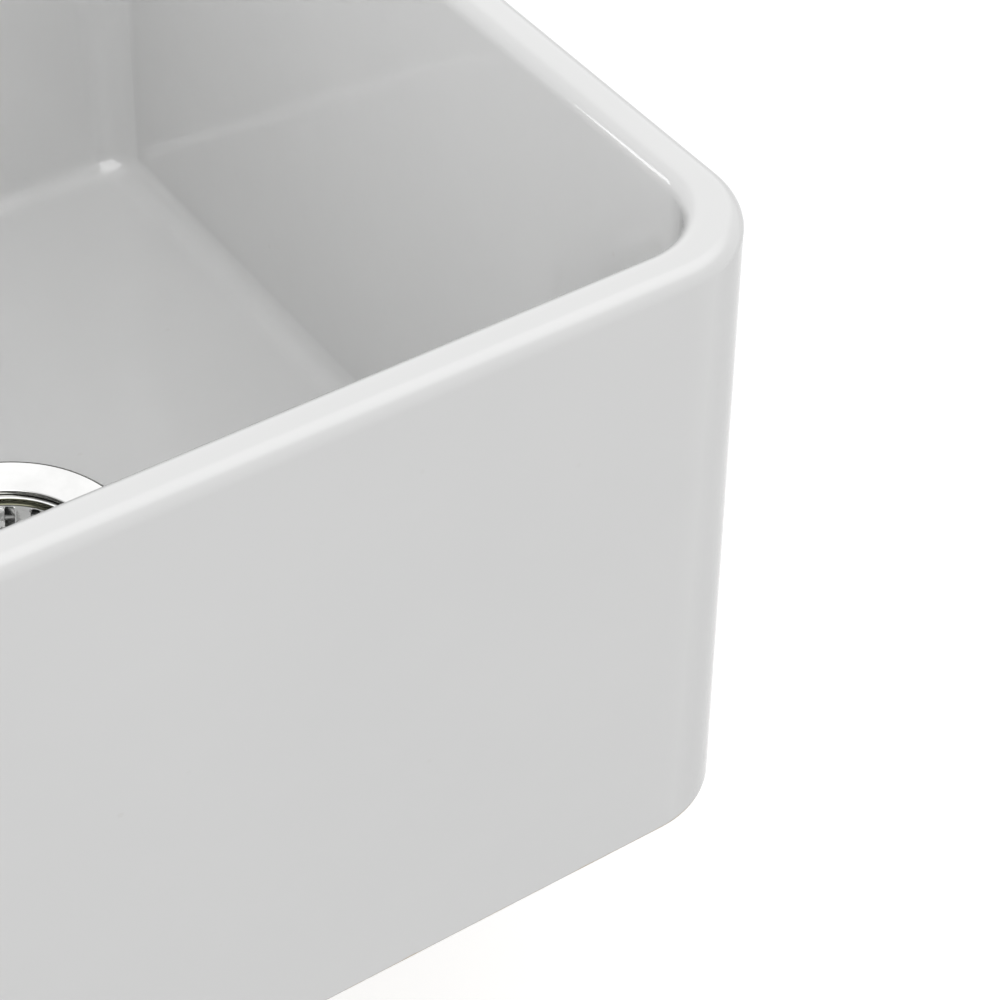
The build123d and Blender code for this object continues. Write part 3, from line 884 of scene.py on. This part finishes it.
def nut_outline(bore, half_flats, low, high, bevel, hole=None, hole_height=0):
    """Section of a hexagonal nut with its corners turned off at both ends. hole is a smaller
    hole at the nut's lower end."""
    corner = half_flats / cos(radians(30))
    face = corner - 2 * bevel
    ease = min(0.5, bevel)

    def outline(stretch):
        reach = half_flats * stretch
        drop = max(0.0, (reach - face) / (corner - face)) * bevel
        level = min(reach, face)
        if hole:
            shoulder = low + hole_height
            inside = [(bore, shoulder), (hole, shoulder), (hole, low + 0.3), (hole + 0.3, low)]
        else:
            inside = [(bore, low + ease), (bore + ease, low)]
        return inside + [
            (level, low), (reach, low + drop), (reach, high - drop), (level, high),
            (bore + ease, high), (bore, high - ease),
        ]

    return outline


def make_lock_nut_sector():
    """Sixth of the lugged nut: half a gap, a lug and half a gap under the bearing ring."""
    _, low, high = span("lock_nut")
    bore = CUP_THREAD + RUNNING_GAP
    body = bore + LOCK_NUT_WALL
    ring_low = high - LOCK_NUT_WEB
    tip = degrees(asin(LUG_HALF_WIDTH / LUG_TIP))
    root = degrees(asin(LUG_HALF_WIDTH / body))
    flanks = [(0, LUG_TIP), (tip / 2, LUG_TIP), (tip, LUG_TIP), (root, body), (root + 1.5, body)]
    flanks += [(turn, body) for turn in (10, 15, 20, 25, 30)]
    flanks = [(-turn, reach) for turn, reach in reversed(flanks[1:])] + flanks
    sections = [[
        (bore, low + 0.6), (bore + 0.6, low), (reach, low), (reach, ring_low),
        (LUG_TIP, ring_low), (LUG_TIP, high), (bore + 0.4, high), (bore, high - 0.4),
    ] for _, reach in flanks]
    return sector_mesh("lock nut sector", [radians(turn) for turn, _ in flanks], sections)


def washer_loops(node, inner, rounding):
    """Flat ring that fills its CAD node's height, with rounded edges."""
    outer, low, high = span(node)
    corners = [(inner, low), (outer, low), (outer, high), (inner, high)]
    return turned_outline([(radius, height, rounding) for radius, height in corners])


def make_tailpiece_loops():
    flange, end, top = span("tailpiece")
    bore = TUBE_RADIUS - TUBE_WALL
    under = top - TUBE_FLANGE
    corners = [
        (bore, top, 0.5), (flange, top, 0.4), (flange, under, 0.4), (TUBE_RADIUS + 0.2, under, 0.15),
        (TUBE_RADIUS, under - 3.0, 0.5), (TUBE_RADIUS, end, 0.35), (bore, end, 0.35),
    ]
    return turned_outline(corners)


# ---- basket

def basket_stations():
    """Points down the middle of the basket's sheet, from its rim to the hole in its floor, as
    (radius, height, half slot width or None)."""
    level = BASKET_LOW + SHEET / 2
    rim = BASKET_TOP - SHEET / 2
    corners = [
        (BASKET_RIM, rim, 0),
        (BASKET_NECK, rim, 0.65),
        (BASKET_NECK, rim - 2.3, 0.4),
        (BASKET_SHELF, rim - 2.675, 0.5),
        (BASKET_HEEL, level, 4.0),
        (BASKET_HOLE, level, 0),
    ]
    outline = softened(corners, 8)
    lengths = [0.0]
    for (radius, height), (other, level_there) in zip(outline, outline[1:]):
        lengths.append(lengths[-1] + hypot(other - radius, level_there - height))

    def at(length):
        for index in range(len(outline) - 1):
            if length <= lengths[index + 1] + 1e-9:
                share = (length - lengths[index]) / (lengths[index + 1] - lengths[index])
                return tuple(between(a, b, share) for a, b in zip(outline[index], outline[index + 1]))
        return outline[-1]

    def where(test):
        return next(length for length in stops(0, lengths[-1], 4000) if test(*at(length)))

    slot_start = where(lambda radius, height: height < SLOT_TOP)
    slot_end = where(lambda radius, height: radius < SLOT_INNER_END)
    ends = [0.0, 0.06, 0.2, 0.42, 0.75, SLOT_ROUND]
    wanted = [slot_start + step for step in ends] + [slot_end - step for step in ends]
    for length in lengths + stops(0, lengths[-1], 44):
        if all(abs(length - other) > 0.16 for other in wanted):
            wanted.append(length)
    stations = []
    for length in sorted(set(wanted)):
        inside = min(length - slot_start, slot_end - length)
        half = None
        if inside > -1e-6:
            edge = max(0.0, SLOT_ROUND - inside)
            half = SLOT_HALF - SLOT_ROUND + sqrt(max(0.0, SLOT_ROUND**2 - edge**2))
        stations.append((*at(length), half))
    return stations


def make_basket_sector():
    """One slot of the basket with the sheet around it, as a surface without thickness."""
    border = pi / SLOT_COUNT
    cells = 4
    stations = basket_stations()
    slot_rows = [index for index, station in enumerate(stations) if station[2] is not None]
    first, last = slot_rows[0], slot_rows[-1]
    narrow = SLOT_HALF - SLOT_ROUND
    work = bmesh.new()
    rows = []
    for index, (radius, height, half) in enumerate(stations):
        if half is None:
            end = stations[first if index < first else last]
            edge = asin(narrow / end[0])
        else:
            edge = asin(half / radius)
        side = stops(-border, -edge, cells)
        turns = side + [0.0] + [-turn for turn in reversed(side)]
        rows.append([
            work.verts.new(Vector((radius * cos(turn), radius * sin(turn), height)) * MM)
            for turn in turns
        ])
    for index in range(len(rows) - 1):
        for step in range(len(rows[0]) - 1):
            if first <= index < last and step in (cells, cells + 1):
                continue
            work.faces.new((
                rows[index][step], rows[index][step + 1], rows[index + 1][step + 1], rows[index + 1][step],
            ))
    loose = [vert for vert in work.verts if not vert.link_faces]
    bmesh.ops.delete(work, geom=loose, context="VERTS")
    mesh = bpy.data.meshes.new("basket sector")
    work.to_mesh(mesh)
    work.free()
    return mesh


def make_basket(finish):
    basket = copied_about("basket", make_basket_sector(), SLOT_COUNT, finish, BASKET_TURN)
    wall = basket.modifiers.new("sheet", "SOLIDIFY")
    wall.thickness = SHEET * MM
    wall.offset = 0.0
    wall.use_even_offset = True
    return eased(basket, 0.14, 2, 50)


# ---- guide, post and stopper

def make_guide_loops():
    flange, low, top = span("post_bushing")
    seat = BASKET_LOW + SHEET
    groove_high = GROOVE_MIDDLES[1] + GROOVE_HALF
    groove_low = GROOVE_MIDDLES[1] - GROOVE_HALF
    corners = [
        (GUIDE_BORE, low, 0.2), (GUIDE_BODY, low, 0.25), (GUIDE_BODY, seat, 0), (flange, seat, 0.15),
        (flange, seat + 1.2, 0.45), (GUIDE_BODY, seat + 1.2, 0.5), (GUIDE_BODY + 0.6, top, 0.5),
        (GUIDE_BORE, top, 0.3), (GUIDE_BORE, groove_high, 0.1), (SPRING_ROOM, groove_high, 0),
        (SPRING_ROOM, groove_low, 0), (GUIDE_BORE, groove_low, 0.1),
    ]
    return turned_outline(corners, spokes=96)


def make_spring_mesh():
    """Open ring of round wire with rounded ends."""
    start, end = radians(15), radians(345)
    tips = stops(0, radians(67.5), 3)
    places = [(start, -cos(tip), sin(tip)) for tip in tips]
    places += [(turn, 0, 1) for turn in stops(start, end, 72)]
    places += [(end, cos(tip), sin(tip)) for tip in reversed(tips)]
    loops = []
    for turn, past, swell in places:
        turn += past * SPRING_WIRE / SPRING_MIDDLE
        thick = SPRING_WIRE * swell
        section = []
        for spoke in range(1 if swell < 1e-6 else 16):
            angle = tau * spoke / 16
            radius = SPRING_MIDDLE + thick * cos(angle)
            height = GROOVE_MIDDLES[1] + thick * sin(angle)
            section.append((radius * cos(turn), radius * sin(turn), height))
        loops.append(section)
    return grid_mesh("detent_spring", loops, joined=False)


def make_post_loops():
    """Post with its collar and the two grooves that the spring ring clicks into."""
    _, low, top = span("stopper_post")
    collar = POST_RADIUS + POST_COLLAR
    corners = [
        (0, low, 0), (POST_RADIUS, low, 0.5), (POST_RADIUS, COLLAR_LOW, 0), (collar, COLLAR_LOW, 0.2),
        (collar, COLLAR_TOP, 0.4), (POST_RADIUS, COLLAR_TOP, 0.2),
    ]
    for middle in GROOVE_MIDDLES:
        groove = [(GROOVE_HALF, 0), (GROOVE_FLOOR, GROOVE_DEPTH)]
        corners += [(POST_RADIUS - depth, middle - reach, 0.2) for reach, depth in groove]
        corners += [(POST_RADIUS - depth, middle + reach, 0.2) for reach, depth in reversed(groove)]
    corners += [(POST_RADIUS, top, 0.3), (0, top, 0)]
    return turned_outline(corners, spokes=96)


def make_knob_loops():
    """Mushroom knob with a waist to grip under and a socket for the post."""
    rim, low, top = span("post_knob")
    socket = POST_RADIUS + 0.05
    socket_top = low + 8.0
    grip_low, grip_high = top - 8.0, top - 3.0
    corners = [
        (0, socket_top, 0), (socket, socket_top, 0.2), (socket, low, 0.3), (5.6, low, 0.5),
        (6.1, low + 3.4, 2.0), (7.3, grip_low - 1.2, 1.8), (rim, grip_low + 0.9, 0.7),
        (rim, grip_low + 2.2, 0.25), (rim - 0.35, grip_low + 2.5, 0.2), (rim - 0.35, grip_high - 0.7, 0.2),
        (rim, grip_high - 0.4, 0.3), (rim - 0.6, grip_high + 1.3, 1.2),
        (rim - 4.0, top - 0.35, 3.0), (0, top, 0),
    ]
    return turned_outline(corners, 6, 128)


def make_seal_loops():
    """Rubber disc with a thin lip at its edge and two moulded rings underneath."""
    outer, low, high = span("stopper_seal")
    corners = [(POST_HOLE, low, 0.2)]
    for ring_start, ring_end in ((9.0, 13.6), (20.0, 25.6)):
        corners += [
            (ring_start, low, 0.2), (ring_start + 0.6, low + 0.4, 0.2),
            (ring_end - 0.6, low + 0.4, 0.2), (ring_end, low, 0.2),
        ]
    corners += [
        (outer - 0.5, low, 0.3), (outer, low + 0.6, 0.4), (outer, high - 1.0, 0.4),
        (outer - 1.0, high, 0.5), (POST_HOLE, high, 0.2),
    ]
    return turned_outline(corners)


# ---- assembly

def make_hexagonal_nut(name, node, body, slot, finish, bore, half_flats, bevel, ease, *end):
    """Nut of which ease gives the edges' rounding, and end a smaller hole at its lower end."""
    _, low, high = span(node)
    outline = nut_outline(bore, half_flats, low, high, bevel, *end)
    nut = copied_about(name, nut_sector(node + " sector", outline), 6, finish, radians(30))
    fit(eased(nut, *ease), node, body, slot)


def make_pieces():
    polished = make_polished_steel(
        "polished_stainless_steel", (0.61, 0.61, 0.605, 1), (0.56, 0.56, 0.555, 1),
        # painted shade: a thin dark line round the flange's outer edge, standing for the shade where the
        # flange meets the glaze
        (EDGE_LINE, 0.22, FLANGE_TOP, 1.0, (0.08, 0.08, 0.075, 1)),
        # painted shade: the mouth's inner wall is darkened, standing for the shade and the dark reflection
        # of the drain's hollow
        (MOUTH_RADIUS + 0.2, 0.55, MOUTH_TOP - 1.6, 1.5, (0.16, 0.16, 0.15, 1)),
    )
    # painted light: the basket gets a lighter copy of the polished steel, its colour raised so that it
    # renders brighter than the flange's steel
    bright = make_polished_steel(
        "basket_steel_painted_lighter", (0.90, 0.90, 0.895, 1), (0.86, 0.86, 0.855, 1),
        # painted shade: the basket's neck is darkened, standing for the shade and dark reflections in the
        # gap under the flange's mouth
        (BASKET_NECK, 1.0, BASKET_TOP - 1.6, 1.45, (0.07, 0.07, 0.05, 1)),
    )
    turned = make_brushed_steel("turned_stainless_steel", turning_group, {"Lines": 1300.0})
    drawn = make_brushed_steel("drawn_stainless_steel", drawn_group, {"Across": 1500.0, "Along": 14.0})
    rubber = make_black_rubber()
    brass = make_brass()
    plastic = make_white_plastic()

    # each piece with its loops and finish, its CAD node, its body and its slot
    for name, loops, finish, node, body, slot in (
        ("bowl", make_bowl_loops(), make_glazed_fireclay(), "sink_bowl", "sink", "fireclay"),
        ("strainer", make_strainer_loops(), polished, "strainer_body", "sink", "polished_steel"),
        ("waste_tube", make_tailpiece_loops(), drawn, "tailpiece", "sink", "brushed_steel"),
        ("post_guide", make_guide_loops(), turned, "post_bushing", "basket", "brushed_steel"),
        ("stopper_post_rod", make_post_loops(), turned, "stopper_post", "stopper", "brushed_steel"),
        ("pull_knob", make_knob_loops(), polished, "post_knob", "stopper", "polished_steel"),
        ("stopper_rubber", make_seal_loops(), rubber, "stopper_seal", "stopper", "black_rubber"),
    ):
        fit(turned_piece(name, loops, finish), node, body, slot)

    # each washer with its hole and its edges' rounding
    cup_hole = CUP_THREAD + RUNNING_GAP
    for name, hole, rounding, finish, node, body, slot in (
        ("flange_gasket_foam", GASKET_HOLE, 0.35, make_foam(), "flange_gasket", "sink", "foam_gasket"),
        ("rubber_floor_washer", cup_hole, 0.7, rubber, "rubber_washer", "sink", "black_rubber"),
        ("fibre_slip_washer", cup_hole, 0.15, make_fibre(), "friction_washer", "sink", "fibre_washer"),
        ("tailpiece_seal", TUBE_WASHER_HOLE, 0.4, plastic, "tailpiece_washer", "sink", "white_plastic"),
        ("stopper_backing_plate", POST_HOLE, 0.3, turned, "stopper_plate", "stopper", "brushed_steel"),
    ):
        fit(turned_piece(name, washer_loops(node, hole, rounding), finish), node, body, slot)

    make_hexagonal_nut(
        "waste_coupling_nut", "coupling_nut", "sink", "brass", brass, OUTLET_THREAD + RUNNING_GAP,
        COUPLING_HALF_FLATS, COUPLING_BEVEL, (0.35, 3), COUPLING_HOLE, COUPLING_SHOULDER,
    )
    make_hexagonal_nut(
        "guide_nut", "bushing_nut", "basket", "brushed_steel", turned, BASKET_HOLE,
        GUIDE_NUT_HALF_FLATS, SMALL_NUT_BEVEL, (0.12,),
    )
    make_hexagonal_nut(
        "stopper_clamp_nut", "stopper_nut", "stopper", "brass", brass, POST_HOLE,
        STOPPER_NUT_HALF_FLATS, SMALL_NUT_BEVEL, (0.12,),
    )
    lock_nut = copied_about("lugged_lock_nut", make_lock_nut_sector(), 6, make_cast_zinc())
    fit(eased(lock_nut, 0.5, 3), "lock_nut", "sink", "cast_zinc")

    bars = eased(copied_about("outlet_crossbars", make_crossbar_sector(), 2, polished), 0.2)
    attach(bars, "sink")
    fit(make_basket(bright), "basket_cup", "basket", "polished_steel")
    spring = new_piece("detent_spring", make_spring_mesh(), make_spring_steel())
    fit(spring, "detent_ring", "basket", "spring_steel")


# ---- studio

FLOOR_LEVEL = cad_low.z - 0.004
FLOOR_HALF = 4.0
CAMERA_PLACE = Vector((-0.28763, -0.78169, 0.80109))
CAMERA_AZIMUTH = radians(-33.62)
CAMERA_ELEVATION = radians(42.30)
LENS = 105.32
STRIP_PLACE = (-1.186, 1.058, 0.745)
STRIP_TARGET = (0.174, -0.165, 0.251)
# direction of each card, degrees from its middle to where it starts and ends to fade, and strength
CARDS = [
    ((0.448, 0.673, 0.588), 10, 34, 0.85),
    ((0.36, -0.12, 0.92), 4, 44, 2.7),
    ((-0.45, -0.6, 0.66), 30, 36, 4.0),
]


def seen_white(tree):
    """1 for rays from the camera, mirrors and glass, and 0 for the light on the object."""
    path = tree.nodes.new("ShaderNodeLightPath")
    seen = maths(tree, "MAXIMUM", path.outputs["Is Camera Ray"], path.outputs["Is Glossy Ray"])
    return maths(tree, "MAXIMUM", seen, path.outputs["Is Transmission Ray"])


def make_world():
    """White room. The brighter cards in it show only in reflections."""
    world = bpy.data.worlds.new("white studio")
    world.use_nodes = True
    tree = world.node_tree
    background = tree.nodes["Background"]
    background.inputs["Color"].default_value = (1, 1, 1, 1)
    place = tree.nodes.new("ShaderNodeTexCoord").outputs["Generated"]
    up = add_node(tree, "ShaderNodeSeparateXYZ", {0: place}).outputs[2]
    sky = spread(tree, up, 1.045, 0.955, -0.2, 0.9)
    shown = 1.0
    for direction, inner, outer, strength in CARDS:
        toward = add_node(tree, "ShaderNodeVectorMath", {
            0: place, 1: Vector(direction).normalized(),
        }, operation="DOT_PRODUCT").outputs["Value"]
        card = add_node(tree, "ShaderNodeMapRange", {
            "Value": toward, "To Min": 0.0, "To Max": strength,
            "From Min": cos(radians(outer)), "From Max": cos(radians(inner)),
        }, interpolation_type="SMOOTHSTEP").outputs[0]
        shown = maths(tree, "ADD", card, shown)
    tree.links.new(blend_value(tree, seen_white(tree), sky, shown), background.inputs["Strength"])
    bpy.context.scene.world = world


def make_floor():
    mesh = bpy.data.meshes.new("studio_floor")
    corners = [(-1, -1), (1, -1), (1, 1), (-1, 1)]
    mesh.from_pydata([(x * FLOOR_HALF, y * FLOOR_HALF, FLOOR_LEVEL) for x, y in corners], [], [(0, 1, 2, 3)])
    paper = bpy.data.materials.new("white_paper_floor")
    paper.use_nodes = True
    tree = paper.node_tree
    tree.nodes.remove(tree.nodes["Principled BSDF"])
    matt = add_node(tree, "ShaderNodeBsdfDiffuse", {"Color": (0.55, 0.55, 0.55, 1)})
    glow = add_node(tree, "ShaderNodeEmission", {"Color": (1, 1, 1, 1)})
    tree.links.new(maths(tree, "MULTIPLY", seen_white(tree), 0.65), glow.inputs["Strength"])
    both = add_node(tree, "ShaderNodeAddShader", {0: matt.outputs[0], 1: glow.outputs[0]})
    # seen from below, the floor lets the view through
    under = tree.nodes.new("ShaderNodeNewGeometry").outputs["Backfacing"]
    clear = tree.nodes.new("ShaderNodeBsdfTransparent")
    paper_side = add_node(tree, "ShaderNodeMixShader", {0: under, 1: both.outputs[0], 2: clear.outputs[0]})
    tree.links.new(paper_side.outputs[0], tree.nodes["Material Output"].inputs["Surface"])
    mesh.materials.append(paper)
    new_object("studio_floor", mesh)


def aimed(holder, place, direction):
    """Puts a lamp or camera at its place, looking along the direction."""
    holder.location = place
    holder.rotation_mode = "QUATERNION"
    holder.rotation_quaternion = direction.to_track_quat("-Z", "Y")
    return holder


def make_lamp(name, place, target, width, height, power):
    lamp = bpy.data.lights.new(name, "AREA")
    lamp.shape = "RECTANGLE"
    lamp.size = width
    lamp.size_y = height
    lamp.energy = power
    aimed(new_object(name, lamp), place, Vector(target) - Vector(place))


def make_camera():
    camera = bpy.data.cameras.new("view")
    camera.lens = LENS
    camera.sensor_width = 36.0
    camera.clip_start = 0.05
    camera.clip_end = 30.0
    level = cos(CAMERA_ELEVATION)
    ahead = Vector((-sin(CAMERA_AZIMUTH) * level, cos(CAMERA_AZIMUTH) * level, -sin(CAMERA_ELEVATION)))
    bpy.context.scene.camera = aimed(new_object("view", camera), CAMERA_PLACE, ahead)


make_pieces()
make_world()
make_floor()
make_lamp("rim_strip", STRIP_PLACE, STRIP_TARGET, 0.105, 0.5, 0.95)
make_camera()
bpy.context.scene.view_settings.view_transform = "Standard"
